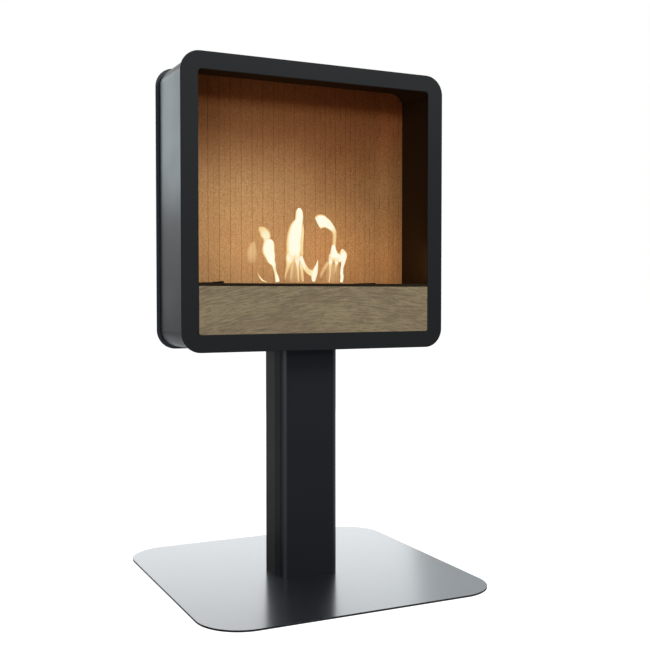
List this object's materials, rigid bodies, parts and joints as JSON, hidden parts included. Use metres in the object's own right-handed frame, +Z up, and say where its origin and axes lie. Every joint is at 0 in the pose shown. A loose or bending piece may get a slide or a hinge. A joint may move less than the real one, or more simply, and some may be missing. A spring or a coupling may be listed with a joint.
{
  "type": "bioethanol fireplace",
  "caption": "Freestanding bioethanol fireplace: a rounded square firebox with an oak front, on a boxed column and a flat square steel base, with a sliding burner shutter.",
  "frame": {"origin": "centre of the base plate's underside, on the floor, below the column's axis", "axes": "+Z up, +Y towards the back, +X to the viewer's right; the open firebox faces -Y"},
  "size_m": [0.694, 0.694, 1.197],
  "materials": {
    "frame_paint": "fine matt black powder coat",
    "casing_paint": "smooth satin black enamel",
    "column_paint": "satin blue-black enamel",
    "spine_paint": "matt warm black enamel",
    "lining_paint": "matt heat-resistant black paint",
    "base_steel": "smooth satin black enamel",
    "burner_steel": "brushed stainless steel",
    "zinc_steel": "zinc-plated steel",
    "dark_screw": "blackened steel",
    "shutter_steel": "heat-browned black steel",
    "board": "golden-brown pressed vermiculite, fine vertical grooves",
    "ceramic": "white porous ceramic",
    "oak": "oiled grey-brown oak, grain along the board"
  },
  "bodies": {
    "stand": {"base_plate": "base_steel", "foot_screws": "zinc_steel", "foot_flange": "zinc_steel", "column_spine": "spine_paint", "column_cover": "column_paint", "cover_clips": "zinc_steel", "top_flange": "zinc_steel", "head_bolts": "zinc_steel", "head_nuts": "zinc_steel", "spreader_plate": "zinc_steel", "front_frame": "frame_paint", "frame_brackets": "lining_paint", "bracket_screws": "dark_screw", "outer_shell": "casing_paint", "rear_panel": "frame_paint", "rear_screws": "dark_screw", "firebox_liner": "lining_paint", "back_board": "board", "board_clips": "lining_paint", "board_clip_screws": "dark_screw", "oak_front": "oak", "fascia_brackets": "zinc_steel", "fascia_screws": "zinc_steel", "hearth_plate": "lining_paint", "hearth_supports": "lining_paint", "support_screws": "dark_screw", "burner_bearers": "lining_paint", "burner_top": "burner_steel", "burner_tank": "burner_steel", "burner_grid": "burner_steel", "ceramic_core": "ceramic", "shutter_rails": "shutter_steel", "rail_rivets": "dark_screw"},
    "shutter_lid": {"shutter": "shutter_steel"}
  },
  "joints": [
    {"name": "shutter_slide", "type": "slide", "parent": "stand", "child": "shutter_lid", "axis": [0, -1, 0], "range_m": [0, 0.048]}
  ]
}
